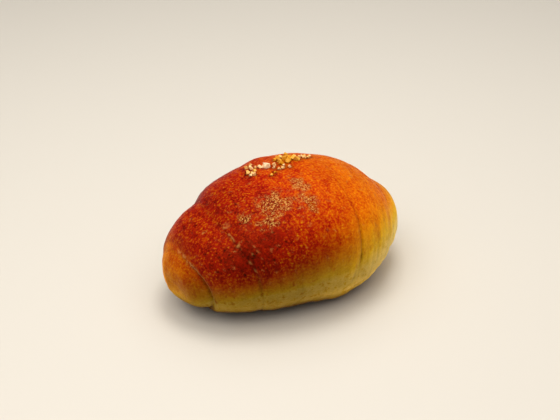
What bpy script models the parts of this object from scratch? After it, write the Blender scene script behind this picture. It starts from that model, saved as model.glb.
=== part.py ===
"""Salt bread roll.

A triangle of soft dough is rolled up from its wide end to its tip, proved, salted along the
crown and baked on a flat sheet. The result is one solid: a plump spindle, fuller to the right
of its middle, with a flat foot. The two slanting sides of the triangle still show, as two
helical steps that climb from each end towards the tip, which is tucked under the foot.

The long axis is X, the crown points to +Z and the foot lies on Z = 0. A place on the crust is
a station, from -1 at the left tip to +1 at the right tip, and an angle about the long axis,
from 0 at the crown, over the front (-Y) at a quarter turn, to the foot at half a turn.
"""

import math
import random

import bmesh
import bpy
import numpy as np
from mathutils import Euler, Matrix, Vector, noise

# Driving sizes, in metres.
LENGTH = 0.119
WIDTH = 0.0807
HEIGHT = 0.0540
SUNK = 0.0048  # how far the round underside would reach below the foot's plane

# The spindle's girth along its length: two tapers that meet at the fullest station.
FULLEST = 0.15
LEFT_TAPER, LEFT_BLUNTNESS = 1.8, 2.12
RIGHT_TAPER, RIGHT_BLUNTNESS = 1.8, 1.72

# The round section: its squareness above and below the line of greatest width, and the height
# of that line as a share of the roll's height, at the middle and at the two tips.
SQUARE_ABOVE, SQUARE_BELOW = 2.3, 2.38
WAIST_MIDDLE, WAIST_LEFT, WAIST_RIGHT = 0.448, 0.305, 0.39

# The dough's two slanting edges, as (half turns about the axis, station, depth of the step,
# softness from 0, a lip with a crease below it, to 1, a shallow round groove).
# Half turns count from the crown of the outermost wrap, forwards over the front: even numbers
# are on the crown, odd ones underneath.
LEFT_EDGE = (
    (-4.0, -0.990, 0.0002, 1.0), (-3.3, -0.965, 0.0004, 1.0), (-2.7, -0.940, 0.0006, 0.8),
    (-2.0, -0.902, 0.0012, 0.9), (-1.7, -0.862, 0.0018, 0.5), (-1.4, -0.793, 0.0025, 0.1),
    (-1.0, -0.738, 0.0014, 0.2), (-0.6, -0.645, 0.0026, 0.5), (-0.3, -0.566, 0.0019, 0.8),
    (0.0, -0.606, 0.0014, 0.9), (0.2, -0.590, 0.0011, 0.4), (0.5, -0.495, 0.0008, 0.3),
    (1.0, -0.385, 0.0002, 0.8),
)
RIGHT_EDGE = (
    (-4.0, 0.975, 0.0002, 1.0), (-3.0, 0.905, 0.0006, 0.8), (-2.0, 0.812, 0.0013, 0.8),
    (-1.0, 0.650, 0.0010, 0.5), (-0.5, 0.510, 0.0007, 0.7), (0.0, 0.375, 0.0004, 0.9),
    (0.3, 0.318, 0.0007, 0.5), (0.5, 0.284, 0.0010, 0.2), (0.7, 0.254, 0.0009, 0.4),
    (1.0, 0.190, 0.0004, 0.8),
)
TURNS = 3  # wraps whose edges show, counted inwards from the outermost
LIP = 0.0030  # width over which a wrap's edge rounds off
SWELL = 0.0070  # width over which the wrap below swells back up
SOFT_LIP = 0.0045  # width of the upper wrap that a soft edge draws in
CREASE_SHARE, CREASE_WIDTH = 0.40, 0.0006  # depth as a share of the step, and width
TIP_FADE = 0.0035  # width of the plain dough at each tip

# Slow unevenness of the proved dough.
UNEVEN_DEPTH, UNEVEN_SPAN = 0.0004, 0.026
SWELLINGS = (  # station, angle, radius and height of each fuller or, below 0, hollower place
    (0.03, math.radians(-43), 0.006, 0.0010),
    (0.90, math.radians(10), 0.0080, 0.0006),
    (0.80, math.radians(125), 0.0090, 0.0010),
    (-0.985, math.radians(108), 0.0070, -0.0022),
    (-0.940, math.radians(-135), 0.0095, -0.0018),
    (-0.530, math.radians(-58), 0.0080, -0.0004),
    (-0.720, math.radians(-70), 0.0110, -0.0011),
    (-0.170, math.radians(124), 0.0120, -0.0008),
    (0.270, math.radians(128), 0.0110, 0.0009),
)

# Coarse salt, scattered in clusters along the crown: station and angle of the centre, reach
# along the axis and about it in metres, number of grains, smallest and largest size.
SALT_CLUSTERS = (
    (-0.117, math.radians(-23), 0.0017, 0.0019, 5, 0.0015, 0.0021),
    (-0.160, math.radians(-14.5), 0.0021, 0.0026, 6, 0.0014, 0.0020),
    (-0.060, math.radians(-16.5), 0.0008, 0.0008, 2, 0.0016, 0.0020),
    (-0.032, math.radians(-14), 0.0002, 0.0002, 1, 0.0032, 0.0034),
    (0.148, math.radians(-16.5), 0.0046, 0.0036, 15, 0.0018, 0.0027),
    (0.060, math.radians(-8.5), 0.0036, 0.0020, 6, 0.0012, 0.0018),
    (-0.055, math.radians(-3), 0.0016, 0.0012, 2, 0.0010, 0.0014),
    (0.278, math.radians(-14), 0.0014, 0.0012, 3, 0.0015, 0.0021),
    (0.318, math.radians(-13), 0.0018, 0.0012, 3, 0.0011, 0.0017),
)
SALT_SEED = 11
TRIES_PER_GRAIN = 6  # each grain takes the emptiest of this many places
GRAIN_STAND = 0.12  # share of a grain's size by which its middle stands above the crust
GRAIN_BLOCK = ((0.80, 1.0), (0.65, 0.9), (0.55, 0.8))  # range of each side's share of the size
GRAIN_BREAKS = 4  # corners broken off each grain, and how much of the way out is left
GRAIN_LEFT = (0.62, 0.84)

# Mesh density.
AROUND = 72
RINGS = 60
EDGE_CROWDING, EDGE_CROWDING_WIDTH = 4.0, 0.0018
UNDER_FROM = math.radians(148)  # the dough's edges are pressed out from here on
FOOT_SNAP = 0.0002

HALF = LENGTH / 2
TURN = 2 * math.pi


def girth(station):
    """Share of the full width at a station."""
    if station < FULLEST:
        run, taper, bluntness = (FULLEST - station) / (1 + FULLEST), LEFT_TAPER, LEFT_BLUNTNESS
    else:
        run, taper, bluntness = (station - FULLEST) / (1 - FULLEST), RIGHT_TAPER, RIGHT_BLUNTNESS
    return max(0.0, 1 - run ** taper) ** (1 / bluntness)


def waist_height(station):
    """Height of the line of greatest width."""
    tip = WAIST_LEFT if station < 0 else WAIST_RIGHT
    return HEIGHT * (WAIST_MIDDLE + (tip - WAIST_MIDDLE) * abs(station) ** 3)


def smooth_body(station, angle):
    """A point of the spindle before the dough's edges are pressed into it."""
    up, front = math.cos(angle), math.sin(angle)
    power = 2 / (SQUARE_ABOVE if up > 0 else SQUARE_BELOW)
    middle = HEIGHT * WAIST_MIDDLE
    rise = HEIGHT - middle if up > 0 else middle + SUNK
    full = girth(station)
    return Vector((
        station * HALF,
        -math.copysign(abs(front) ** power, front) * WIDTH / 2 * full,
        waist_height(station) + math.copysign(abs(up) ** power, up) * rise * full,
    ))


def outward(station, angle):
    """Unit normal of the smooth spindle."""
    step = 1e-3
    if abs(station) > 1 - step:
        return Vector((math.copysign(1, station), 0, 0))
    along = smooth_body(station + step, angle) - smooth_body(station - step, angle)
    about = smooth_body(station, angle + step) - smooth_body(station, angle - step)
    return about.cross(along).normalized()


# Distance along the crust from the left tip, tabled against the station.
TABLE_STATIONS = -np.cos(np.linspace(0, math.pi, 401))
TABLE_RADII = np.array([girth(s) for s in TABLE_STATIONS]) * (WIDTH + HEIGHT) / 4
TABLE_ARCS = np.concatenate((
    [0.0],
    np.cumsum(np.hypot(np.diff(TABLE_STATIONS * HALF), np.diff(TABLE_RADII))),
))
FULL_ARC = TABLE_ARCS[-1]


def arc_of(station):
    return float(np.interp(station, TABLE_STATIONS, TABLE_ARCS))


def station_of(arc):
    return float(np.interp(arc, TABLE_ARCS, TABLE_STATIONS))


def edge_at(edge, half_turns):
    """Station, step and softness of a dough edge, by a smooth curve through its crossings."""
    last = len(edge) - 1
    half_turns = min(max(half_turns, edge[0][0]), edge[last][0])
    i = max(k for k in range(last) if edge[k][0] <= half_turns)
    span = edge[i + 1][0] - edge[i][0]
    t = (half_turns - edge[i][0]) / span

    def slope(k, column):
        before, after = edge[max(k - 1, 0)], edge[min(k + 1, last)]
        return (after[column] - before[column]) / (after[0] - before[0]) * span

    return [
        edge[i][column] * (1 + 2 * t) * (1 - t) ** 2
        + slope(i, column) * t * (1 - t) ** 2
        + edge[i + 1][column] * t * t * (3 - 2 * t)
        - slope(i + 1, column) * t * t * (1 - t)
        for column in (1, 2, 3)
    ]


def edge_arc(edge, turn, angle):
    """Arc from the left tip to a dough edge, its step and softness, on a turn counted inwards."""
    station, step, softness = edge_at(edge, (angle - turn * TURN) / math.pi)
    return arc_of(station), step, softness


def edge_profile(distance, step, softness):
    """Height of the crust at a distance onto the upper wrap (positive) or the lower one."""
    if distance > LIP:
        lip = 0.0
    elif distance > 0:
        lip = math.sqrt(1 - (1 - distance / LIP) ** 2) - 1
    else:
        lip = -math.exp(distance / SWELL)
    lip -= CREASE_SHARE * math.exp(-((distance / CREASE_WIDTH) ** 2))
    groove = -math.exp(-((distance / (SOFT_LIP if distance > 0 else SWELL)) ** 2))
    return step * (lip + (groove - lip) * softness)


def underneath(angle):
    """0 over the crust that shows, rising to 1 along the middle of the underside."""
    share = min(max((abs(angle) - UNDER_FROM) / (math.pi - UNDER_FROM), 0.0), 1.0)
    return share * share * (3 - 2 * share)


def relief(station, angle):
    """How far the crust stands off the smooth spindle, from steps, swellings and unevenness."""
    arc = arc_of(station)
    height = 0.0
    for turn in range(TURNS):
        left, *left_shape = edge_arc(LEFT_EDGE, turn, angle)
        right, *right_shape = edge_arc(RIGHT_EDGE, turn, angle)
        height += edge_profile(arc - left, *left_shape) + edge_profile(right - arc, *right_shape)
    height *= (1 - underneath(angle)) * min(1.0, min(arc, FULL_ARC - arc) / TIP_FADE)
    body = smooth_body(station, angle)
    for middle, turned, radius, rise in SWELLINGS:
        apart = (body - smooth_body(middle, turned)).length / radius
        height += rise * math.exp(-apart * apart)
    return height + UNEVEN_DEPTH * noise.noise(body / UNEVEN_SPAN)


def crust(station, angle):
    return smooth_body(station, angle) + outward(station, angle) * relief(station, angle)


def ring_arcs():
    """Arc of each ring at the crown, with the rings crowded where the dough's edges cross."""
    arcs = np.linspace(0, FULL_ARC, 2001)
    density = np.ones_like(arcs)
    for edge in (LEFT_EDGE, RIGHT_EDGE):
        for turn in (0, 1):
            apart = (arcs - edge_arc(edge, turn, 0.0)[0]) / EDGE_CROWDING_WIDTH
            density += EDGE_CROWDING * np.exp(-apart * apart)
    share = np.concatenate(([0.0], np.cumsum((density[1:] + density[:-1]) / 2)))
    return np.interp(np.linspace(0, 1, RINGS + 1), share / share[-1], arcs)


def followed_edges(angle):
    """Arcs, from tip to tip, of the lines that the rings follow about the roll."""
    left = [edge_arc(LEFT_EDGE, turn, angle)[0] for turn in (1, 0)]
    right = [edge_arc(RIGHT_EDGE, turn, angle)[0] for turn in (0, 1)]
    return np.array([0.0, *left, *right, FULL_ARC])


def slanted(arc, angle):
    """Arc of a ring at an angle, so that the rings run along the dough's edges."""
    crown = followed_edges(0.0)
    here = followed_edges(angle)
    return float(np.interp(arc, crown, here + (crown - here) * underneath(angle)))


def new_object(name, mesh, collection, material):
    mesh.materials.append(material)
    made = bpy.data.objects.new(name, mesh)
    collection.objects.link(made)
    return made


def rolled_dough(name, collection, material):
    """The spindle with its helical steps, cut flat at the foot."""
    bm = bmesh.new()
    bmesh.ops.create_uvsphere(bm, u_segments=AROUND, v_segments=RINGS, radius=1.0)
    arcs = ring_arcs()
    for vert in bm.verts:
        polar = math.acos(min(max(-vert.co.z, -1.0), 1.0)) / math.pi
        angle = math.atan2(-vert.co.y, vert.co.x)
        ring = round(polar * RINGS)
        vert.co = crust(station_of(slanted(arcs[ring], angle)), angle)
        if abs(vert.co.z) < FOOT_SNAP:
            vert.co.z = 0.0
    everything = list(bm.verts) + list(bm.edges) + list(bm.faces)
    bmesh.ops.bisect_plane(
        bm, geom=everything, dist=1e-6, plane_co=(0, 0, 0), plane_no=(0, 0, 1), clear_inner=True
    )
    rim = [edge for edge in bm.edges if edge.is_boundary]
    bmesh.ops.edgeloop_fill(bm, edges=rim)
    bmesh.ops.recalc_face_normals(bm, faces=bm.faces)
    mesh = bpy.data.meshes.new(name)
    bm.to_mesh(mesh)
    bm.free()
    mesh.shade_smooth()
    return new_object(name, mesh, collection, material)


def salt_places():
    """Place, size, turn, block sides and breaks of every grain, in a fixed order."""
    draw = random.Random(SALT_SEED)
    taken = []
    for station, angle, along, about, count, smallest, largest in SALT_CLUSTERS:
        for _ in range(count):
            tries = [
                (
                    station + draw.uniform(-along, along) / HALF,
                    angle + draw.uniform(-about, about) / (HEIGHT - HEIGHT * WAIST_MIDDLE),
                )
                for _ in range(TRIES_PER_GRAIN)
            ]
            seats = {place: smooth_body(*place) for place in tries}
            place = max(
                tries, key=lambda t: min([(seats[t] - seat).length for seat in taken], default=0)
            )
            taken.append(seats[place])
            size = draw.uniform(smallest, largest)
            turn = Euler([draw.uniform(0, TURN) for _ in range(3)])
            block = [draw.uniform(low, high) * size for low, high in GRAIN_BLOCK]
            breaks = []
            for _ in range(GRAIN_BREAKS):
                corner = [draw.choice((-1, 1)) * draw.uniform(0.6, 1.4) for _ in range(3)]
                out = Vector(corner).normalized()
                reach = sum(abs(share) * side / 2 for share, side in zip(out, block))
                breaks.append((out, reach * draw.uniform(*GRAIN_LEFT)))
            yield place, size, turn, block, breaks


def crushed_block(bm, block, breaks):
    """A block with corners broken off; each break is a direction and a distance from the middle."""
    bmesh.ops.create_cube(bm, size=1.0)
    bmesh.ops.scale(bm, vec=block, verts=bm.verts)
    for out, distance in breaks:
        everything = list(bm.verts) + list(bm.edges) + list(bm.faces)
        bmesh.ops.bisect_plane(
            bm, geom=everything, plane_co=out * distance, plane_no=out, clear_outer=True
        )
        rim = [edge for edge in bm.edges if edge.is_boundary]
        bmesh.ops.edgeloop_fill(bm, edges=rim)


def salt_grain(name, grain, collection, material):
    """A crushed crystal, bedded in the crust."""
    (station, angle), size, turn, block, breaks = grain
    bm = bmesh.new()
    crushed_block(bm, block, breaks)
    seat = crust(station, angle) + outward(station, angle) * size * GRAIN_STAND
    placed = Matrix.Translation(seat) @ turn.to_matrix().to_4x4()
    bmesh.ops.transform(bm, matrix=placed, verts=bm.verts)
    bmesh.ops.recalc_face_normals(bm, faces=bm.faces)
    mesh = bpy.data.meshes.new(name)
    bm.to_mesh(mesh)
    bm.free()
    return new_object(name, mesh, collection, material)


def fuse(body, grains_collection):
    """One union of the body with every grain, applied, and the grains then removed."""
    union = body.modifiers.new("salt", "BOOLEAN")
    union.operation = "UNION"
    union.operand_type = "COLLECTION"
    union.collection = grains_collection
    depsgraph = bpy.context.evaluated_depsgraph_get()
    fused = bpy.data.meshes.new_from_object(body.evaluated_get(depsgraph))
    body.modifiers.remove(union)
    old = body.data
    body.data = fused
    bpy.data.meshes.remove(old)
    for grain in list(grains_collection.objects):
        bpy.data.objects.remove(grain)
    bpy.data.collections.remove(grains_collection)


def centre_over_origin(body):
    """Put the middle of the body's box, seen from above, on the Z axis."""
    corners = [Vector(corner) for corner in body.bound_box]
    middle = sum(corners, Vector()) / len(corners)
    body.data.transform(Matrix.Translation((-middle.x, -middle.y, 0)))


def principled(name, colour, roughness):
    material = bpy.data.materials.new(name)
    material.use_nodes = True
    shader = material.node_tree.nodes["Principled BSDF"]
    shader.inputs["Base Color"].default_value = (*colour, 1)
    shader.inputs["Roughness"].default_value = roughness
    shader.inputs["Metallic"].default_value = 0.0
    return material


def new_collection(name):
    made = bpy.data.collections.new(name)
    bpy.context.scene.collection.children.link(made)
    return made


def main():
    for old in list(bpy.data.objects):
        bpy.data.objects.remove(old)
    bread = new_collection("salt_bread_roll")
    salt = new_collection("salt_grains")
    baked = principled("baked_crust", (0.52, 0.17, 0.035), 0.42)
    roll = rolled_dough("roll", bread, baked)
    for number, grain in enumerate(salt_places()):
        salt_grain(f"grain_{number}", grain, salt, baked)
    fuse(roll, salt)
    centre_over_origin(roll)


main()
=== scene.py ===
"""The looks of a salt bread roll: its baked crust and the coarse salt along its crown.

The crust is modelled over the frame's solid `roll`, with the same spindle and the same slanting
dough edges, and with the finer relief of a baked skin. A place on it is a station, from -1 at the
left tip to +1 at the right tip, and an angle about the long axis, from 0 at the crown, over the
front (-Y) at a quarter turn, to the foot at half a turn. Lengths are in metres.
"""

import math
import random

import bmesh
import bpy
import numpy as np
from mathutils import Euler, Matrix, Vector, noise


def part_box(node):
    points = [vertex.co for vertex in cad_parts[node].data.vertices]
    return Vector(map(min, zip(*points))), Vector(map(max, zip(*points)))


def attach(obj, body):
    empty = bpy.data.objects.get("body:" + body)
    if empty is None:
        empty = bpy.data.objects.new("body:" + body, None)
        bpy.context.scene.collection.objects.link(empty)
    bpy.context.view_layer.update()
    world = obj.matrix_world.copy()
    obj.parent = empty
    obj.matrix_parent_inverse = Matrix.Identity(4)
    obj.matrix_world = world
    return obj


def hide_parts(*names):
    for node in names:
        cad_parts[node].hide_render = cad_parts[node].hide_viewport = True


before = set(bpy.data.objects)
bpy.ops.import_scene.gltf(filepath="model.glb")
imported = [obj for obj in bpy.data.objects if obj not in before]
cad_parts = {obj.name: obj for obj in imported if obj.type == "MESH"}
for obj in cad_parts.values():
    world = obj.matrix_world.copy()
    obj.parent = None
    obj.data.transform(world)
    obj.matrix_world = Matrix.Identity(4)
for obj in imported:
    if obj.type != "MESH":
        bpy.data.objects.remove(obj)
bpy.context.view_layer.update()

# The roll's size, from the frame's solid.
ROLL_LOW, ROLL_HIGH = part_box("roll")
TIP_DIP = 0.0005  # how far the creases and hollows draw each tip in
SALT_RISE = 0.0011  # how far the tallest grain of salt stands above the crown
LENGTH = ROLL_HIGH.x - ROLL_LOW.x + 2 * TIP_DIP
WIDTH = ROLL_HIGH.y - ROLL_LOW.y
HEIGHT = ROLL_HIGH.z - SALT_RISE
SUNK = 0.0048  # how far the round underside would reach below the foot's plane

# The spindle's girth along its length: two tapers that meet at the fullest station.
FULLEST = 0.15
LEFT_TAPER, LEFT_BLUNTNESS = 1.8, 2.12
RIGHT_TAPER, RIGHT_BLUNTNESS = 1.8, 1.72

# The round section: its squareness above and below the line of greatest width, and the height
# of that line as a share of the roll's height, at the middle and at the two tips.
SQUARE_ABOVE, SQUARE_BELOW = 2.3, 2.38
WAIST_MIDDLE, WAIST_LEFT, WAIST_RIGHT = 0.448, 0.305, 0.39

# The dough's two slanting edges, as (half turns about the axis, station, depth of the step,
# softness from 0, a lip with a crease below it, to 1, a shallow round groove).
LEFT_EDGE = (
    (-4.0, -0.990, 0.0002, 1.0), (-3.3, -0.965, 0.0004, 1.0), (-2.7, -0.940, 0.0006, 0.8),
    (-2.0, -0.902, 0.0012, 0.9), (-1.7, -0.862, 0.0018, 0.5), (-1.4, -0.793, 0.0025, 0.1),
    (-1.0, -0.738, 0.0014, 0.2), (-0.6, -0.645, 0.0026, 0.5), (-0.3, -0.566, 0.0019, 0.8),
    (0.0, -0.606, 0.0014, 0.9), (0.2, -0.590, 0.0011, 0.4), (0.5, -0.495, 0.0008, 0.3),
    (1.0, -0.385, 0.0002, 0.8),
)
RIGHT_EDGE = (
    (-4.0, 0.975, 0.0002, 1.0), (-3.0, 0.905, 0.0006, 0.8), (-2.0, 0.812, 0.0013, 0.8),
    (-1.0, 0.650, 0.0010, 0.5), (-0.5, 0.510, 0.0007, 0.7), (0.0, 0.375, 0.0004, 0.9),
    (0.3, 0.318, 0.0007, 0.5), (0.5, 0.284, 0.0010, 0.2), (0.7, 0.254, 0.0009, 0.4),
    (1.0, 0.190, 0.0004, 0.8),
)
TURNS = 3  # wraps whose edges show, counted inwards from the outermost
LIP = 0.0030  # width over which a wrap's edge rounds off
SWELL = 0.0070  # width over which the wrap below swells back up
SOFT_LIP = 0.0045  # width of the upper wrap that a soft edge draws in
CREASE_SHARE, CREASE_WIDTH = 0.40, 0.0006  # depth as a share of the step, and width
TIP_FADE = 0.0035  # width of the plain dough at each tip

# Slow unevenness of the proved dough.
UNEVEN_DEPTH, UNEVEN_SPAN = 0.0004, 0.026
SWELLINGS = (  # station, angle, radius and height of each fuller or, below 0, hollower place
    (0.03, math.radians(-43), 0.006, 0.0010),
    (0.90, math.radians(10), 0.0080, 0.0006),
    (0.80, math.radians(125), 0.0090, 0.0010),
    (-0.985, math.radians(108), 0.0070, -0.0022),
    (-0.940, math.radians(-135), 0.0095, -0.0018),
    (-0.530, math.radians(-58), 0.0080, -0.0004),
    (-0.720, math.radians(-70), 0.0110, -0.0011),
    (-0.170, math.radians(124), 0.0120, -0.0008),
    (0.270, math.radians(128), 0.0110, 0.0009),
)

# Coarse salt, scattered in clusters along the crown: station and angle of the centre, reach
# along the axis and about it, number of grains, smallest and largest size, share of butter.
SALT_CLUSTERS = (
    (-0.117, math.radians(-23), 0.0017, 0.0019, 5, 0.0015, 0.0021, 0.35),
    (-0.160, math.radians(-14.5), 0.0021, 0.0026, 6, 0.0014, 0.0020, 0.45),
    (-0.060, math.radians(-16.5), 0.0008, 0.0008, 2, 0.0016, 0.0020, 0.15),
    (-0.032, math.radians(-14), 0.0002, 0.0002, 1, 0.0032, 0.0034, 0.00),
    (0.148, math.radians(-16.5), 0.0046, 0.0036, 15, 0.0018, 0.0027, 0.90),
    (0.060, math.radians(-8.5), 0.0036, 0.0020, 6, 0.0012, 0.0018, 0.30),
    (-0.055, math.radians(-3), 0.0016, 0.0012, 2, 0.0010, 0.0014, 0.80),
    (0.278, math.radians(-14), 0.0014, 0.0012, 3, 0.0015, 0.0021, 0.30),
    (0.318, math.radians(-13), 0.0018, 0.0012, 3, 0.0011, 0.0017, 0.40),
)
SALT_SEED = 11
TRIES_PER_GRAIN = 6  # each grain takes the emptiest of this many places
BUTTER_VARIES, BUTTER_TURN = 0.25, 7.0  # how a grain's butter strays from its cluster's share
GRAIN_STAND = 0.12  # share of a grain's size by which its middle stands above the crust
GRAIN_BLOCK = ((0.80, 1.0), (0.65, 0.9), (0.55, 0.8))  # range of each side's share of the size
GRAIN_BREAKS = 4  # corners broken off each grain
GRAIN_SKEW, GRAIN_LEFT = (0.6, 1.4), (0.62, 0.84)  # how askew, and how much of the way out stays
GRAIN_EDGE = 0.07  # share of a grain's size that is worn off its edges

# Mesh density of the crust.
AROUND = 336
RINGS = 280
EDGE_CROWDING, EDGE_CROWDING_WIDTH = 1.6, 0.0022
UNDER_FROM = math.radians(148)  # the dough's edges are pressed out from here on

HALF = LENGTH / 2
TURN = 2 * math.pi


def smoothstep(low, high, value):
    share = np.clip((value - low) / (high - low), 0.0, 1.0)
    return share * share * (3 - 2 * share)


# ---------------------------------------------------------------- the spindle and its edges

def girth(station):
    """Share of the full width at a station."""
    left = station < FULLEST
    run = np.where(left, (FULLEST - station) / (1 + FULLEST), (station - FULLEST) / (1 - FULLEST))
    taper = np.where(left, LEFT_TAPER, RIGHT_TAPER)
    bluntness = np.where(left, LEFT_BLUNTNESS, RIGHT_BLUNTNESS)
    return np.maximum(0.0, 1 - np.abs(run) ** taper) ** (1 / bluntness)


def smooth_body(station, angle):
    """Points of the spindle before the dough's edges are pressed into it."""
    station, angle = np.broadcast_arrays(station, angle)
    up, front = np.cos(angle), np.sin(angle)
    power = 2 / np.where(up > 0, SQUARE_ABOVE, SQUARE_BELOW)
    middle = HEIGHT * WAIST_MIDDLE
    rise = np.where(up > 0, HEIGHT - middle, middle + SUNK)
    full = girth(station)
    tip = np.where(station < 0, WAIST_LEFT, WAIST_RIGHT)
    waist = HEIGHT * (WAIST_MIDDLE + (tip - WAIST_MIDDLE) * np.abs(station) ** 3)
    return np.stack((
        station * HALF,
        -np.sign(front) * np.abs(front) ** power * WIDTH / 2 * full,
        waist + np.sign(up) * np.abs(up) ** power * rise * full,
    ), axis=-1)


def outward(station, angle):
    """Unit normals of the smooth spindle."""
    station, angle = np.broadcast_arrays(station, angle)
    step = 1e-3
    inner = np.clip(station, -1 + step, 1 - step)
    along = smooth_body(inner + step, angle) - smooth_body(inner - step, angle)
    about = smooth_body(inner, angle + step) - smooth_body(inner, angle - step)
    normal = np.cross(about, along)
    normal /= np.linalg.norm(normal, axis=-1, keepdims=True)
    at_tip = np.abs(station) > 1 - step
    normal[at_tip] = 0.0
    normal[at_tip, 0] = np.sign(station[at_tip])
    return normal


# Distance along the crust from the left tip, tabled against the station.
TABLE_STATIONS = -np.cos(np.linspace(0, math.pi, 401))
TABLE_ARCS = np.concatenate((
    [0.0],
    np.cumsum(np.hypot(
        np.diff(TABLE_STATIONS * HALF),
        np.diff(girth(TABLE_STATIONS) * (WIDTH + HEIGHT) / 4),
    )),
))
FULL_ARC = TABLE_ARCS[-1]


def arc_of(station):
    return np.interp(station, TABLE_STATIONS, TABLE_ARCS)


def station_of(arc):
    return np.interp(arc, TABLE_ARCS, TABLE_STATIONS)


def edge_at(edge, half_turns):
    """Stations, steps and softness of a dough edge, by a smooth curve through its crossings."""
    turned, *columns = (np.array(column) for column in zip(*edge))
    last = len(turned) - 1
    half_turns = np.clip(half_turns, turned[0], turned[last])
    i = np.clip(np.searchsorted(turned, half_turns, side="right") - 1, 0, last - 1)
    before = np.maximum(np.arange(last + 1) - 1, 0)
    after = np.minimum(np.arange(last + 1) + 1, last)
    span = turned[i + 1] - turned[i]
    t = (half_turns - turned[i]) / span
    curves = []
    for column in columns:
        slope = (column[after] - column[before]) / (turned[after] - turned[before])
        curves.append(
            column[i] * (1 + 2 * t) * (1 - t) ** 2
            + slope[i] * span * t * (1 - t) ** 2
            + column[i + 1] * t * t * (3 - 2 * t)
            - slope[i + 1] * span * t * t * (1 - t)
        )
    return curves


def edge_arc(edge, turn, angle):
    """Arc from the left tip to a dough edge, its step and softness, on a turn counted inwards."""
    station, step, softness = edge_at(edge, (angle - turn * TURN) / math.pi)
    return arc_of(station), step, softness


def edge_profile(distance, step, softness):
    """Height of the crust at a distance onto the upper wrap (positive) or the lower one."""
    onto = np.clip(distance / LIP, 0.0, 1.0)
    rounded = np.sqrt(1 - (1 - onto) ** 2) - 1
    lip = np.where(distance > 0, rounded, -np.exp(np.minimum(distance, 0.0) / SWELL))
    lip -= CREASE_SHARE * np.exp(-((distance / CREASE_WIDTH) ** 2))
    groove = -np.exp(-((distance / np.where(distance > 0, SOFT_LIP, SWELL)) ** 2))
    return step * (lip + (groove - lip) * softness)


def underneath(angle):
    """0 over the crust that shows, rising to 1 along the middle of the underside."""
    return smoothstep(UNDER_FROM, math.pi, np.abs(angle))


def near_tip(arc):
    """0 at each tip, rising to 1 where the plain dough there ends."""
    return np.minimum(1.0, np.minimum(arc, FULL_ARC - arc) / TIP_FADE)


def noise_at(points):
    """Smooth noise, from about -1 to 1, at each of an array of points."""
    flat = [noise.noise(Vector(point)) for point in points.reshape(-1, 3)]
    return np.array(flat).reshape(points.shape[:-1])


def relief(station, angle):
    """How far the crust stands off the smooth spindle, from steps, swellings and unevenness."""
    arc = arc_of(station)
    height = np.zeros(np.shape(arc))
    for turn in range(TURNS):
        left, *left_shape = edge_arc(LEFT_EDGE, turn, angle)
        right, *right_shape = edge_arc(RIGHT_EDGE, turn, angle)
        height += edge_profile(arc - left, *left_shape) + edge_profile(right - arc, *right_shape)
    height *= (1 - underneath(angle)) * near_tip(arc)
    body = smooth_body(station, angle)
    for middle, turned, radius, rise in SWELLINGS:
        apart = np.linalg.norm(body - smooth_body(middle, turned), axis=-1) / radius
        height += rise * np.exp(-apart * apart)
    return height + UNEVEN_DEPTH * noise_at(body / UNEVEN_SPAN)


def crust(station, angle):
    return smooth_body(station, angle) + outward(station, angle) * relief(station, angle)[..., None]


# ---------------------------------------------------------------- how the skin baked, and the light and shade painted on it

# Tone runs from 0, straw-coloured belly, to 1, the reddest crust. Lightness is the share of the
# light that the crust gives back, with painted light and shade in it. At each station: the tones of
# the belly and of the crown, the heights where the belly ends and where the crown's tone begins,
# and the lightness of the crown and of the front, which holds painted light and shade by angle as
# well as the crust's own colour.
BAKE_AND_PAINTED_LIGHT = (
    (-1.00, 0.24, 0.57, 0.006, 0.024, 0.34, 0.47), (-0.90, 0.23, 0.65, 0.011, 0.031, 0.28, 0.26),
    (-0.80, 0.14, 0.92, 0.014, 0.032, 0.28, 0.26), (-0.50, 0.15, 0.98, 0.018, 0.036, 0.26, 0.24),
    (-0.20, 0.12, 0.89, 0.020, 0.041, 0.36, 0.27), (0.00, 0.11, 0.77, 0.020, 0.045, 0.44, 0.35),
    (0.30, 0.07, 0.63, 0.019, 0.046, 0.53, 0.58), (0.60, 0.00, 0.56, 0.021, 0.044, 0.58, 0.75),
    (0.80, 0.00, 0.58, 0.022, 0.039, 0.64, 0.90), (1.00, 0.00, 0.54, 0.024, 0.038, 0.68, 0.92),
)
FRONT_TURNS = (math.radians(15), math.radians(75))  # from the crown's lightness to the front's, painted light and shade by angle
DARK_PLACES = (  # station, angle, reach along and about, share of the light taken away
    (-0.58, math.radians(62), 0.22, math.radians(26), 0.42),
    (-0.20, math.radians(76), 0.22, math.radians(14), 0.28),
    (0.08, math.radians(72), 0.16, math.radians(16), 0.15),
    (-0.33, math.radians(47), 0.13, math.radians(9), 0.28),
    (0.36, math.radians(106), 0.12, math.radians(14), 0.15),
    (-0.88, math.radians(112), 0.10, math.radians(50), 0.15),
)
DARK_TONE = 1.10  # how much redder such a place is, against its share
WANDER, WANDER_SPAN = 0.0015, 0.011  # how far the browning strays up and down
BELLY_PALER = 0.12  # the part of the belly that took no colour
PALE_HEIGHT, PALE_BAND, PALER = 0.0110, 0.0034, 0.34  # the palest band, above the foot

# The browning low down, next to the baking sheet, which also holds painted contact shade that
# darkens it there; and the browning under the roll.
FOOT_BROWNING_AND_SHADE, FOOT_TONE, FOOT_HEIGHTS = 0.75, 0.30, (0.0012, 0.0120)
UNDER_DARKENING, UNDER_TONE, UNDER_HEIGHTS = 0.20, 0.60, (0.0002, 0.0030)

# The small wrap at the left tip, tucked away from the heat: how much paler and how much less
# red it is, where it is palest, and how far and where its colour laps the next wrap's edge.
TIP_PALER, TIP_TONE, TIP_BLEND = 0.13, -0.03, 0.0008
TIP_FACING = math.radians(-25)
TIP_LAP, LAP_TURNS = 0.0024, (math.radians(-5), math.radians(15))

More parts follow.
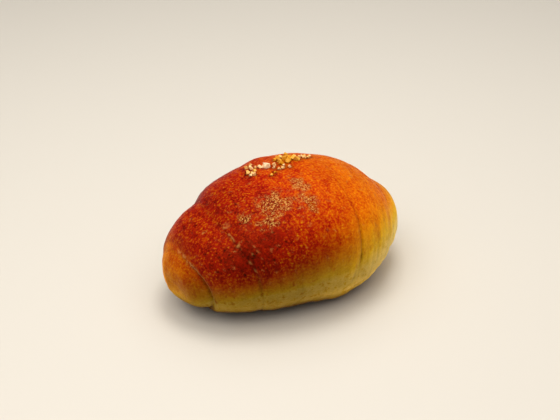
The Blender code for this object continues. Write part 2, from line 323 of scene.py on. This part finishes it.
# The outer wrap's left edge bakes redder over a band. The back of the left part is painted
# paler and less red: painted light from behind.
EDGE_TONE, EDGE_DARKENING, EDGE_BAND = 0.10, 0.15, 0.008
PAINTED_BACK_LIGHT, PAINTED_BACK_LIGHT_TONE = 0.40, -0.08
PAINTED_BACK_LIGHT_TURNS, PAINTED_BACK_LIGHT_STATIONS = (math.radians(8), math.radians(40)), (-0.55, -0.10)

# Painted shade, as dark lines in the sharper creases: how dark, how wide, how far onto the lower
# wrap as a share of that, the step that makes a full line, what softness takes off, and where they
# fade.
PAINTED_CREASE_SHADE, CREASE_REACH, CREASE_SET = 0.42, 0.0008, 0.4
CREASE_STEP, CREASE_SOFTENING = 0.0012, 0.7
CREASE_ENDS = (math.radians(82), math.radians(102))

# Pale slivers along the left edge: where the skin tore and shows the pale dough, and where a
# highlight is painted along the lip. Turn, first and last angle, distance onto the upper wrap, half
# width, paleness.
TORN_AND_HIGHLIT_SLIVERS = (
    (0, math.radians(13), math.radians(22), 0.0014, 0.0016, 0.45),
    (0, math.radians(20), math.radians(37), 0.0006, 0.0004, 0.60),
    (0, math.radians(38), math.radians(44), 0.0007, 0.0007, 0.90),
    (0, math.radians(58), math.radians(66), 0.0003, 0.0004, 0.40),
    (0, math.radians(68), math.radians(84), 0.0003, 0.0005, 0.30),
    (0, math.radians(45), math.radians(66), 0.0056, 0.0003, 0.35),
    (1, math.radians(-4), math.radians(22), 0.0012, 0.0005, 0.50),
    (1, math.radians(20), math.radians(40), 0.0005, 0.0005, 0.60),
    (1, math.radians(38), math.radians(106), 0.0004, 0.0005, 0.45),
)
TORN_RISE, TEAR_SPAN = 0.00016, 0.0013
TEAR_TAPER = 0.06  # angle over which a sliver's ends taper
TEAR_RAGGED, TEAR_GAPS = 1.2, (-0.35, 0.15)  # how ragged the slivers are, and how broken up

# Folds in the belly, from one place to another, with their depth, or below 0 rise, and width. A
# fold is painted darker, as shade, and a rise paler, as light.
FOLDS = (
    ((0.54, math.radians(107)), (0.26, math.radians(118)), 0.0009, 0.0010),
    ((0.29, math.radians(84)), (0.20, math.radians(107)), 0.0007, 0.0009),
    ((0.24, math.radians(80)), (0.18, math.radians(100)), -0.0004, 0.0012),
)
FOLD_TAPER = 0.1  # share of half a wave that is left off each end of a fold
PAINTED_FOLD_LIGHT_AND_SHADE = 350.0  # painted shade in a fold and painted light on a rise: share of the lightness lost for each metre of depth

# Fine relief of the skin: pebbling of the crown, and stretch lines that run about the roll,
# deepest as pleats low down at the right.
PEBBLE_DEPTH, PEBBLE_SPAN, PEBBLE_TONES = 0.00010, 0.0021, (0.3, 0.8)
STRETCH_DEPTH, STRETCH_SPAN, STRETCH_RUN = 0.00012, 0.0026, 0.026
PLEAT_DEPTH, PLEATS_FROM = 0.00050, (0.15, 0.70)
PLEATS_TURNS = (math.radians(35), math.radians(90))
PLEAT_PAINTED_LIGHT, PLEAT_TONE, PLEATED_TONES = 0.25, 0.6, (0.0, 0.4)  # their ridges are paler and less red, the lightness partly painted light on the ridges and painted shade in the grooves
ROLLED_RADIUS = 0.030  # of the cylinder that the stretch lines are wound on

# Lumps where the dough met its sheet, the heights between which they fade, and how far the rim
# of the foot curls off the sheet.
LUMP_DEPTH, LUMP_SPAN, LUMP_HEIGHTS = 0.0009, 0.0042, (0.002, 0.010)
LUMPS_APART = 7.0  # sets the lumps' noise apart from the other unevenness
RIM_ROUNDING = 0.0008

DAMP_AND_SHADE_REACH = 0.0009  # how far the butter soaks round a grain of salt, and how far painted shade under it reaches

# Glossy places where the butter wrinkled the skin, which also carry painted glints: station, angle,
# reach along and about.
GLOSSY = (
    (-0.20, math.radians(20), 0.14, math.radians(10)),
    (-0.30, math.radians(33), 0.07, math.radians(7)),
    (0.04, math.radians(13), 0.06, math.radians(8)),
    (0.02, math.radians(28), 0.06, math.radians(10)),
    (-0.45, math.radians(21), 0.04, math.radians(6)),
    (-0.39, math.radians(31), 0.02, math.radians(4)),
)
GLOSS_SPAN, GLOSS_RAGGED, GLOSS_EDGE = 0.0022, 0.6, (0.15, 0.85)


def row_at(table, station):
    """Every column of a table, read off between its stations."""
    stations, *columns = zip(*table)
    return [np.interp(station, stations, column) for column in columns]


def baking_and_painted_light(station, angle, height, onto_tip, onto_edge):
    """Tone and lightness of the crust, with painted light and shade in the lightness."""
    belly, crown, pale_below, full_above, above, in_front = row_at(BAKE_AND_PAINTED_LIGHT, station)
    baked = np.clip((height - pale_below) / (full_above - pale_below), 0.0, 1.0)
    tone = belly + (crown - belly) * baked
    # Painted light and shade by angle: the crown's lightness turns to the front's.
    light = above + (in_front - above) * smoothstep(*FRONT_TURNS, np.abs(angle))
    for middle, turned, along, about, share in DARK_PLACES:
        apart = ((station - middle) / along) ** 2 + ((np.abs(angle) - turned) / about) ** 2
        light *= 1 - share * np.exp(-apart)
        tone += DARK_TONE * share * np.exp(-apart) * baked
    # Low down next to the sheet: browning, and painted contact shade.
    foot = 1 - smoothstep(*FOOT_HEIGHTS, height)
    light *= (1 + BELLY_PALER * (1 - baked)) * (1 - FOOT_BROWNING_AND_SHADE * foot)
    light *= 1 + PALER * np.exp(-(((height - PALE_HEIGHT) / PALE_BAND) ** 2))
    tone += FOOT_TONE * foot
    lap = TIP_LAP * (1 - smoothstep(*LAP_TURNS, angle))
    tip = 1 - smoothstep(-TIP_BLEND, TIP_BLEND, onto_tip - lap)
    tone += tip * TIP_TONE
    light += tip * TIP_PALER * np.maximum(np.cos(angle - TIP_FACING), 0.0)
    # Painted light from behind: the back of the left part paler and less red.
    back = smoothstep(*PAINTED_BACK_LIGHT_TURNS, -angle) * (1 - smoothstep(*PAINTED_BACK_LIGHT_STATIONS, station))
    light *= 1 + PAINTED_BACK_LIGHT * back
    tone += PAINTED_BACK_LIGHT_TONE * back * baked
    band = np.exp(-np.maximum(onto_edge, 0.0) / EDGE_BAND) * (onto_edge > 0) * baked
    under = 1 - smoothstep(*UNDER_HEIGHTS, height)
    tone += EDGE_TONE * band + (UNDER_TONE - tone) * under
    return tone, light * (1 - EDGE_DARKENING * band) * (1 - UNDER_DARKENING * under)


def creases(arc, angle):
    """0 on plain crust, up to 1 in the sharper creases under the dough's edges, where shade is
    painted.
    """
    deepest = np.zeros_like(arc)
    for edge, side in ((LEFT_EDGE, 1), (RIGHT_EDGE, -1)):
        for turn in range(TURNS):
            at, step, softness = edge_arc(edge, turn, angle)
            across = side * (arc - at) / CREASE_REACH + CREASE_SET
            depth = np.clip(step / CREASE_STEP, 0.0, 1.0) * (1 - CREASE_SOFTENING * softness)
            depth = depth * (1 - smoothstep(*CREASE_ENDS, np.abs(angle)))
            deepest = np.maximum(deepest, depth * np.exp(-across * across))
    return deepest * (1 - underneath(angle))


def torn_and_highlit_skin(arc, angle, ragged):
    """0 on whole skin, up to 1 on the pale slivers, where the skin tore off and the dough shows,
    and where a highlight is painted along the lip.
    """
    torn_and_highlit = np.zeros_like(arc)
    for turn, first, last, offset, width, paleness in TORN_AND_HIGHLIT_SLIVERS:
        edge = edge_arc(LEFT_EDGE, turn, angle)[0]
        across = (arc - edge - offset) / width + TEAR_RAGGED * ragged
        begun = smoothstep(first, first + TEAR_TAPER, angle)
        ended = smoothstep(last - TEAR_TAPER, last, angle)
        torn_and_highlit = np.maximum(torn_and_highlit, paleness * np.exp(-across * across) * begun * (1 - ended))
    return torn_and_highlit * smoothstep(*TEAR_GAPS, ragged)


def glossiness(station, angle, ragged):
    """0 on dull crust, up to 1 in the ragged places that shine, by their lower roughness and by
    painted glints.
    """
    gloss = np.zeros_like(station)
    for middle, turned, along, about in GLOSSY:
        apart = ((station - middle) / along) ** 2 + ((angle - turned) / about) ** 2
        gloss = np.maximum(gloss, np.exp(-apart))
    return smoothstep(*GLOSS_EDGE, gloss + GLOSS_RAGGED * ragged)


def fold_depth(place):
    """Depth of the folds in the belly, at each place."""
    depth = np.zeros(place.shape[:-1])
    for start, end, deepest, width in FOLDS:
        start, end = smooth_body(*start), smooth_body(*end)
        run = end - start
        share = np.clip(((place - start) @ run) / (run @ run), 0.0, 1.0)
        apart = np.linalg.norm(place - start - share[..., None] * run, axis=-1) / width
        wave = np.sin(math.pi * (FOLD_TAPER + (1 - 2 * FOLD_TAPER) * share))
        depth += deepest * np.exp(-apart * apart) * wave
    return depth


def settled(height):
    """Heights over the baking sheet, with the rim of the flat foot rounded off."""
    rounded = (height + np.sqrt(height * height + 4 * RIM_ROUNDING ** 2)) / 2
    return rounded - rounded.min()


# ---------------------------------------------------------------- the crust's mesh

def ring_arcs():
    """Arc of each ring at the crown, with the rings crowded where the dough's edges cross."""
    arcs = np.linspace(0, FULL_ARC, 2001)
    density = np.ones_like(arcs)
    for edge in (LEFT_EDGE, RIGHT_EDGE):
        for turn in (0, 1):
            apart = (arcs - edge_arc(edge, turn, 0.0)[0]) / EDGE_CROWDING_WIDTH
            density += EDGE_CROWDING * np.exp(-apart * apart)
    share = np.concatenate(([0.0], np.cumsum((density[1:] + density[:-1]) / 2)))
    return np.interp(np.linspace(0, 1, RINGS + 1), share / share[-1], arcs)


def followed_edges(angle):
    """Arcs, from tip to tip, of the lines that the rings follow about the roll."""
    left = [edge_arc(LEFT_EDGE, turn, angle)[0] for turn in (1, 0)]
    right = [edge_arc(RIGHT_EDGE, turn, angle)[0] for turn in (0, 1)]
    return np.array([0.0, *left, *right, FULL_ARC])


def slanted_rings(angles, rings):
    """Arcs of every ring at every angle, so that the rings run along the dough's edges."""
    crown = followed_edges(0.0)
    lines = []
    for angle in angles:
        here = followed_edges(angle)
        lines.append(np.interp(rings, crown, here + (crown - here) * underneath(angle)))
    return np.array(lines)


MASKS = ("tone", "light", "torn_and_highlit", "damp_and_shade", "gloss")  # floats that the mesh carries


def skin_values():
    """Every value that the crust's mesh carries, as grids of segments by rings."""
    angles = np.arange(AROUND) * TURN / AROUND
    angles = np.where(angles > math.pi, angles - TURN, angles)
    rings = ring_arcs()
    arc = slanted_rings(angles, rings)
    station = station_of(arc)
    angle = np.broadcast_to(angles[:, None], arc.shape)
    body = smooth_body(station, angle)
    normal = outward(station, angle)
    rolled = np.stack((
        np.broadcast_to(rings, arc.shape),
        np.cos(angle) * ROLLED_RADIUS,
        np.sin(angle) * ROLLED_RADIUS,
    ), axis=-1)

    onto_edge = arc - edge_arc(LEFT_EDGE, 0, angle)[0]
    onto_tip = arc - edge_arc(LEFT_EDGE, 1, angle)[0]
    strayed = body[..., 2] + WANDER * noise_at(body / WANDER_SPAN)
    tone, light = baking_and_painted_light(station, angle, strayed, onto_tip, onto_edge)
    ragged = noise_at(body / TEAR_SPAN)
    # The pale slivers: skin that tore, and painted highlights along the lip.
    torn_and_highlit = torn_and_highlit_skin(arc, angle, ragged)
    # Painted shade in the sharper creases.
    light *= 1 - PAINTED_CREASE_SHADE * creases(arc, angle) * (1 + ragged)

    pebbles = noise_at(body / PEBBLE_SPAN) * smoothstep(*PEBBLE_TONES, tone)
    pleated = smoothstep(*PLEATS_FROM, station) * smoothstep(*PLEATS_TURNS, np.abs(angle))
    lines = noise_at(rolled / (STRETCH_SPAN, STRETCH_RUN, STRETCH_RUN)) * near_tip(arc)
    height = relief(station, angle) + PEBBLE_DEPTH * pebbles + TORN_RISE * torn_and_highlit
    height += (STRETCH_DEPTH + (PLEAT_DEPTH - STRETCH_DEPTH) * pleated) * lines
    low_down = (1 - smoothstep(*LUMP_HEIGHTS, body[..., 2])) * near_tip(arc)
    height += LUMP_DEPTH * noise_at(body / LUMP_SPAN + LUMPS_APART) * low_down
    folds = fold_depth(body)
    height -= folds
    place = body + normal * height[..., None]
    place[..., 2] = settled(place[..., 2])

    # Damp spots round each grain of salt, which also hold painted shade under and between the
    # grains.
    damp_and_shade = np.zeros_like(arc)
    for (salt_station, salt_angle), size, *_ in salt_places():
        apart = np.linalg.norm(body - smooth_body(salt_station, salt_angle), axis=-1)
        damp_and_shade = np.maximum(damp_and_shade, np.exp(-((apart / (DAMP_AND_SHADE_REACH + size / 2)) ** 2)))
    tone -= PLEAT_TONE * np.clip(tone, *PLEATED_TONES) * pleated * lines
    # Painted light and shade: on the pleats' ridges and in their grooves, and in the folds and on
    # the rise.
    light *= (1 + PLEAT_PAINTED_LIGHT * pleated * lines) * (1 - PAINTED_FOLD_LIGHT_AND_SHADE * folds)
    gloss = glossiness(station, angle, noise_at(body / GLOSS_SPAN))
    return {
        "place": place, "rolled": rolled, "tone": tone, "light": light, "torn_and_highlit": torn_and_highlit, "damp_and_shade": damp_and_shade,
        "gloss": gloss,
    }


def baked_skin(material):
    """The crust, as one closed mesh whose rings run along the dough's edges."""
    values = skin_values()
    bm = bmesh.new()
    layers = {name: bm.verts.layers.float.new(name) for name in MASKS}
    rolled = bm.verts.layers.float_vector.new("rolled")
    bmesh.ops.create_uvsphere(bm, u_segments=AROUND, v_segments=RINGS, radius=1.0)
    for vert in bm.verts:
        ring = round(math.acos(min(max(-vert.co.z, -1.0), 1.0)) / math.pi * RINGS)
        segment = round(math.atan2(-vert.co.y, vert.co.x) / TURN * AROUND) % AROUND
        vert.co = values["place"][segment, ring]
        vert[rolled] = values["rolled"][segment, ring]
        for name, layer in layers.items():
            vert[layer] = values[name][segment, ring]
    bm.normal_update()  # else the sphere's own normals turn the crust inside out
    bmesh.ops.recalc_face_normals(bm, faces=bm.faces)
    mesh = bpy.data.meshes.new("baked_crust")
    bm.to_mesh(mesh)
    bm.free()
    mesh.shade_smooth()
    return new_piece("baked_crust", mesh, material)


def new_piece(name, mesh, material):
    mesh.materials.append(material)
    made = bpy.data.objects.new(name, mesh)
    bpy.context.scene.collection.objects.link(made)
    return made


# ---------------------------------------------------------------- the salt

def salt_places():
    """Place, size, turn, block sides, breaks and butter of every grain, in a fixed order."""
    draw = random.Random(SALT_SEED)
    taken = []
    for station, angle, along, about, count, smallest, largest, butter in SALT_CLUSTERS:
        for number in range(count):
            tries = [
                (
                    station + draw.uniform(-along, along) / HALF,
                    angle + draw.uniform(-about, about) / (HEIGHT - HEIGHT * WAIST_MIDDLE),
                )
                for _ in range(TRIES_PER_GRAIN)
            ]
            seats = {place: Vector(smooth_body(*place)) for place in tries}
            place = max(
                tries, key=lambda t: min([(seats[t] - seat).length for seat in taken], default=0)
            )
            taken.append(seats[place])
            size = draw.uniform(smallest, largest)
            turn = Euler([draw.uniform(0, TURN) for _ in range(3)])
            block = [draw.uniform(low, high) * size for low, high in GRAIN_BLOCK]
            breaks = []
            for _ in range(GRAIN_BREAKS):
                corner = [draw.choice((-1, 1)) * draw.uniform(*GRAIN_SKEW) for _ in range(3)]
                out = Vector(corner).normalized()
                reach = sum(abs(share) * side / 2 for share, side in zip(out, block))
                breaks.append((out, reach * draw.uniform(*GRAIN_LEFT)))
            share = butter + BUTTER_VARIES * math.sin(BUTTER_TURN * number)
            yield place, size, turn, block, breaks, min(max(share, 0.0), 1.0)


def crushed_block(bm, block, breaks):
    """A block with corners broken off; each break is a direction and a distance from the middle."""
    bmesh.ops.create_cube(bm, size=1.0)
    bmesh.ops.scale(bm, vec=block, verts=bm.verts)
    for out, distance in breaks:
        everything = list(bm.verts) + list(bm.edges) + list(bm.faces)
        bmesh.ops.bisect_plane(
            bm, geom=everything, plane_co=out * distance, plane_no=out, clear_outer=True
        )
        rim = [edge for edge in bm.edges if edge.is_boundary]
        bmesh.ops.edgeloop_fill(bm, edges=rim)


def salt_grain(grain):
    """A mesh of one crushed crystal, with its edges worn, bedded in the crust."""
    (station, angle), size, turn, block, breaks, butter = grain
    bm = bmesh.new()
    buttered = bm.verts.layers.float.new("butter")
    crushed_block(bm, block, breaks)
    bmesh.ops.bevel(
        bm, geom=list(bm.edges), offset=GRAIN_EDGE * size, offset_type="OFFSET", segments=2,
        profile=0.5, affect="EDGES", clamp_overlap=True, material=-1,
    )
    at = np.array([station]), np.array([angle])
    seat = Vector((crust(*at) + outward(*at) * size * GRAIN_STAND)[0])
    placed = Matrix.Translation(seat) @ turn.to_matrix().to_4x4()
    bmesh.ops.transform(bm, matrix=placed, verts=bm.verts)
    for vert in bm.verts:
        vert[buttered] = butter
    bmesh.ops.recalc_face_normals(bm, faces=bm.faces)
    mesh = bpy.data.meshes.new("grain")
    bm.to_mesh(mesh)
    bm.free()
    return mesh


def salt_grains(material):
    """Every grain of salt, as one mesh."""
    bm = bmesh.new()
    for grain in salt_places():
        mesh = salt_grain(grain)
        bm.from_mesh(mesh)
        bpy.data.meshes.remove(mesh)
    mesh = bpy.data.meshes.new("salt")
    bm.to_mesh(mesh)
    bm.free()
    return new_piece("salt", mesh, material)


def centre_over_origin(skin, *on_it):
    """Move the meshes alike, so that the crust's box is centred over the origin."""
    xs, ys = ([vert.co[axis] for vert in skin.data.vertices] for axis in (0, 1))
    shift = Matrix.Translation((-(min(xs) + max(xs)) / 2, -(min(ys) + max(ys)) / 2, 0.0))
    for piece in (skin, *on_it):
        piece.data.transform(shift)


# ---------------------------------------------------------------- materials

def new_material(name):
    material = bpy.data.materials.new(name)
    material.use_nodes = True
    tree = material.node_tree
    return material, tree, tree.nodes["Principled BSDF"]


def add(tree, kind, inputs=None, **settings):
    """A new node with its settings, and its inputs as values or as other nodes' outputs."""
    made = tree.nodes.new("ShaderNode" + kind)
    for name, value in settings.items():
        setattr(made, name, value)
    for name, value in (inputs or {}).items():
        if isinstance(value, bpy.types.NodeSocket):
            tree.links.new(value, made.inputs[name])
        else:
            made.inputs[name].default_value = value
    return made


def blend(tree, recipe, values):
    """A recipe's base, plus its share of each value that it names."""
    total, shares = recipe
    for name, share in shares.items():
        total = add(
            tree, "Math", {0: values[name], 1: share, 2: total}, operation="MULTIPLY_ADD"
        ).outputs[0]
    return total


def product(tree, first, second, clamp=False):
    return add(
        tree, "Math", {0: first, 1: second}, operation="MULTIPLY", use_clamp=clamp
    ).outputs[0]


def scaled(tree, colour, share):
    return add(
        tree, "VectorMath", {0: colour, "Scale": share}, operation="SCALE"
    ).outputs["Vector"]


def mask(tree, value, edge, most=1.0):
    """0 where the value is below the edge's range, and most where it is above."""
    low, high = edge
    return add(
        tree, "MapRange",
        {"Value": value, "From Min": low, "From Max": high, "To Min": 0.0, "To Max": most},
    ).outputs["Result"]


def unevenness_group():
    """A node group of noise about 0, from -0.5 to 0.5, with features of about the given span."""
    group = bpy.data.node_groups.new("unevenness", "ShaderNodeTree")
    group.interface.new_socket("Vector", in_out="INPUT", socket_type="NodeSocketVector")
    for name in ("Span", "Detail", "Roughness"):
        group.interface.new_socket(name, in_out="INPUT", socket_type="NodeSocketFloat")
    group.interface.new_socket("Unevenness", in_out="OUTPUT", socket_type="NodeSocketFloat")
    given = group.nodes.new("NodeGroupInput").outputs
    scale = add(group, "Math", {0: 1.0, 1: given["Span"]}, operation="DIVIDE").outputs[0]
    fac = add(
        group, "TexNoise",
        {
            "Vector": given["Vector"], "Scale": scale, "Detail": given["Detail"],
            "Roughness": given["Roughness"],
        },
    ).outputs["Fac"]
    centred = add(group, "Math", {0: fac, 1: 0.5}, operation="SUBTRACT").outputs[0]
    group.links.new(centred, group.nodes.new("NodeGroupOutput").inputs["Unevenness"])
    return group


def unevenness(tree, vector, span, detail, roughness):
    return add(
        tree, "Group",
        {"Vector": vector, "Span": span, "Detail": detail, "Roughness": roughness},
        node_tree=UNEVENNESS,
    ).outputs["Unevenness"]


UNEVENNESS = unevenness_group()


def hue_ramp(tree, share, hues):
    """The hue that stands in a table at each share."""
    ramp = add(tree, "ValToRGB", {"Fac": share})
    while len(ramp.color_ramp.elements) < len(hues):
        ramp.color_ramp.elements.new(0.5)
    for element, (position, hue) in zip(ramp.color_ramp.elements, hues):
        element.position = position
        element.color = (*hue, 1)
    return ramp.outputs["Color"]


BUMP_DEPTH = 0.00025  # of the skin's grain and of the clouds in the salt


def dress(tree, shader, colour, roughness, bumps, strength, gloss):
    """Give a shader its colour, its roughness, its bumps and the tint of its gloss."""
    tree.links.new(colour, shader.inputs["Base Color"])
    tree.links.new(roughness, shader.inputs["Roughness"])
    bump = add(tree, "Bump", {"Height": bumps, "Strength": strength, "Distance": BUMP_DEPTH})
    tree.links.new(bump.outputs["Normal"], shader.inputs["Normal"])
    shader.inputs["Specular Tint"].default_value = (*gloss, 1)


# The crust's hue against its tone, with the red share at 1.
CRUST_HUES = (
    (0.00, (1.0, 0.70, 0.17)), (0.20, (1.0, 0.56, 0.015)), (0.40, (1.0, 0.34, 0.003)),
    (0.60, (1.0, 0.165, 0.001)), (0.80, (1.0, 0.065, 0.001)), (1.00, (1.0, 0.018, 0.004)),
)
TORN_AND_HIGHLIT_COLOUR = (0.58, 0.25, 0.06)
# Tan colour of the painted glints in the glossy places.
PAINTED_GLINT_COLOUR = (0.70, 0.34, 0.08)
CRUST_GLOSS, CRUST_GLOSS_LEVEL = (1.0, 0.55, 0.10), 0.10

# Fine patterns of the skin, each about 0: span of the features, detail and roughness.
SKIN_PATTERNS = {
    "grain": (0.0010, 3.0, 0.65),
    "speck": (0.0008, 2.0, 0.8),
    "mottle": (0.0042, 2.0, 0.5),
    "freckle": (0.0024, 2.0, 0.7),
}
STREAK_SPANS = (0.0020, 0.020, 0.020)  # along the roll, and the other two ways, about it
STREAKS = (1.0, 2.0, 0.5)  # on coordinates already divided by those spans

# Recipes of the crust: a base, and the share of each named value that is added to it.
PALENESS = (1.2, {"tone": -1.4, "light": -0.8})
UNEVEN = (0.0, {"grain": 2.5, "mottle": 0.80, "streaks": 0.50})
UNEVEN_STRENGTH = (0.05, {"redness": 1.20})
PATCHINESS = (1.0, {"mottle": 1.6})
TONE = (0.0, {"tone": 1.0, "uneven": 1.0, "freckled": 0.28})
# The lightness recipe; its damp share also paints the shade round the grains of salt.
LIGHTNESS = (
    1.0,
    {
        "uneven": -0.80, "grain": -0.40, "streaks": -0.35, "mottle": -0.30, "damp_and_shade": -0.75,
        "freckled": -0.30,
    },
)
# The glossy places are set darker, between the painted glints.
BETWEEN_PAINTED_GLINTS = (1.0, {"gloss": -0.35})
CRUST_ROUGHNESS = (0.58, {"tone": -0.10, "mottle": 0.4, "grain": 0.3, "gloss": -0.22})
BUMPS = (0.0, {"grain": -1.0, "streaks": -0.6, "speck": 0.3})
WRINKLED = (1.0, {"gloss": 1.6})

REDNESS_POWER = 3.0  # the unevenness grows with this power of the tone
FRECKLE_EDGE = (0.05, 0.21)
# Where the painted glints show, and how strongly.
PAINTED_GLINT_EDGE, PAINTED_GLINT_MOST = (-0.02, 0.13), 0.85


def skin_readings(tree):
    """The values that the crust's mesh carries, and the fine patterns of its skin."""
    values = {
        name: add(tree, "Attribute", attribute_name=name).outputs["Fac"]
        for name in MASKS
    }
    place = add(tree, "TexCoord").outputs["Object"]
    for name, pattern in SKIN_PATTERNS.items():
        values[name] = unevenness(tree, place, *pattern)
    rolled = add(tree, "Attribute", attribute_name="rolled").outputs["Vector"]
    wound = add(tree, "Mapping", {"Vector": rolled, "Scale": [1 / span for span in STREAK_SPANS]})
    values["streaks"] = unevenness(tree, wound.outputs["Vector"], *STREAKS)
    return values


def crust_colour(tree, values):
    """The crust's hue by its tone, given its lightness, with the painted glints, and the pale
    slivers of tearing and painted lip highlights, over it.
    """
    # Brown freckles on the pale belly.
    freckles = mask(tree, values["freckle"], FRECKLE_EDGE)
    values["freckled"] = product(tree, freckles, blend(tree, PALENESS, values), clamp=True)

    # Grains of the crust are redder and darker than what lies between, most of all on the crown.
    values["redness"] = add(
        tree, "Math", {0: values["tone"], 1: REDNESS_POWER}, operation="POWER", use_clamp=True
    ).outputs[0]
    strength = product(tree, blend(tree, UNEVEN_STRENGTH, values), blend(tree, PATCHINESS, values))
    values["uneven"] = product(tree, blend(tree, UNEVEN, values), strength)
    light = product(tree, values["light"], blend(tree, LIGHTNESS, values))
    colour = scaled(tree, hue_ramp(tree, blend(tree, TONE, values), CRUST_HUES), light)

    # Painted glints: tan flecks in the glossy places, which are set darker under them; and the pale
    # slivers, where the skin tore and where highlights are painted along the lip.
    colour = scaled(tree, colour, blend(tree, BETWEEN_PAINTED_GLINTS, values))
    painted_glints = product(tree, mask(tree, values["speck"], PAINTED_GLINT_EDGE, PAINTED_GLINT_MOST), values["gloss"])
    for share, paler in ((painted_glints, PAINTED_GLINT_COLOUR), (values["torn_and_highlit"], TORN_AND_HIGHLIT_COLOUR)):
        colour = add(
            tree, "Mix", {"Factor": share, "A": colour, "B": (*paler, 1)}, data_type="RGBA"
        ).outputs["Result"]
    return colour


def crust_material():
    material, tree, shader = new_material("baked_crust")
    values = skin_readings(tree)
    colour = crust_colour(tree, values)
    roughness = blend(tree, CRUST_ROUGHNESS, values)
    bumps = product(tree, blend(tree, BUMPS, values), blend(tree, WRINKLED, values))
    dress(tree, shader, colour, roughness, bumps, 1.0, CRUST_GLOSS)
    shader.inputs["Specular IOR Level"].default_value = CRUST_GLOSS_LEVEL
    return material


# Salt from dry to soaked with butter, against its share of butter.
SALT_HUES = (
    (0.0, (0.94, 0.66, 0.38)), (0.45, (0.92, 0.53, 0.20)), (0.75, (0.86, 0.42, 0.04)),
    (1.0, (0.68, 0.26, 0.006)),
)
SALT_GLOSS = (1.0, 0.85, 0.6)
CLOUD = (0.0009, 2.0, 0.6)  # the cloudy places inside a grain

# Recipes of the salt, as the crust's.
SOAKED = (0.0, {"butter": 1.0, "cloud": 0.9})
SALT_SHADE = (0.95, {"cloud": 0.5})
SALT_ROUGHNESS = (0.30, {"cloud": 0.4})
SALT_BUMP = 0.6


def salt_material():
    material, tree, shader = new_material("coarse_salt")
    values = {
        "butter": add(tree, "Attribute", attribute_name="butter").outputs["Fac"],
        "cloud": unevenness(tree, add(tree, "TexCoord").outputs["Object"], *CLOUD),
    }
    hue = hue_ramp(tree, blend(tree, SOAKED, values), SALT_HUES)
    colour = scaled(tree, hue, blend(tree, SALT_SHADE, values))
    roughness = blend(tree, SALT_ROUGHNESS, values)
    dress(tree, shader, colour, roughness, values["cloud"], SALT_BUMP, SALT_GLOSS)
    return material


# ---------------------------------------------------------------- floor, light and camera

CAMERA_AT = Vector((-0.1716, -0.2908, 0.2461))
AIMED_AT = Vector((0.0268, 0.0495, 0.0))
LENS, SENSOR = 56.58, 36.0  # millimetres

DAYLIGHT = (1.0, 0.985, 0.96)
SKY_STRENGTH = 0.30
LAMPS = (  # name, place, side and power
    ("overhead", (0.06, 0.06, 0.62), 0.24, 1.50),
    ("ceiling", (0.0, 0.0, 0.90), 1.60, 10.4),
    ("side", (-0.38, -0.15, 0.56), 0.50, 1.45),
)
WIDEST_GLINT = 1.0  # side up to which a lamp shows as a glint on the crust

FLOOR_SIDE = 4.0
FLOOR_COLOUR, FLOOR_ROUGHNESS = (0.635, 0.587, 0.512), 0.6


def floor():
    bm = bmesh.new()
    bmesh.ops.create_grid(bm, x_segments=1, y_segments=1, size=FLOOR_SIDE / 2)
    mesh = bpy.data.meshes.new("floor")
    bm.to_mesh(mesh)
    bm.free()
    material, tree, shader = new_material("pale_floor")
    shader.inputs["Base Color"].default_value = (*FLOOR_COLOUR, 1)
    shader.inputs["Roughness"].default_value = FLOOR_ROUGHNESS
    made = new_piece("floor", mesh, material)


def soft_light(name, place, side, power):
    """A square lamp that shines on the middle of the floor."""
    data = bpy.data.lights.new(name, "AREA")
    data.shape = "SQUARE"
    data.size = side
    data.energy = power
    data.color = DAYLIGHT
    lamp = bpy.data.objects.new(name, data)
    lamp.location = place
    lamp.rotation_euler = (-Vector(place)).to_track_quat("-Z", "Y").to_euler()
    lamp.visible_glossy = side < WIDEST_GLINT
    bpy.context.scene.collection.objects.link(lamp)


def studio():
    floor()
    for lamp in LAMPS:
        soft_light(*lamp)
    world = bpy.data.worlds.new("studio")
    world.use_nodes = True
    sky = world.node_tree.nodes["Background"]
    sky.inputs["Color"].default_value = (*DAYLIGHT, 1)
    sky.inputs["Strength"].default_value = SKY_STRENGTH
    bpy.context.scene.world = world
    world.cycles_visibility.glossy = False
    bpy.context.scene.view_settings.view_transform = "Standard"


def camera():
    data = bpy.data.cameras.new("camera")
    data.sensor_width = SENSOR
    data.lens = LENS
    made = bpy.data.objects.new("camera", data)
    made.location = CAMERA_AT
    made.rotation_euler = (AIMED_AT - CAMERA_AT).to_track_quat("-Z", "Y").to_euler()
    bpy.context.scene.collection.objects.link(made)
    bpy.context.scene.camera = made


skin = baked_skin(crust_material())
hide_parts("roll")
salt = salt_grains(salt_material())
for piece in (skin, salt):
    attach(piece, "root")
centre_over_origin(skin, salt)
studio()
camera()
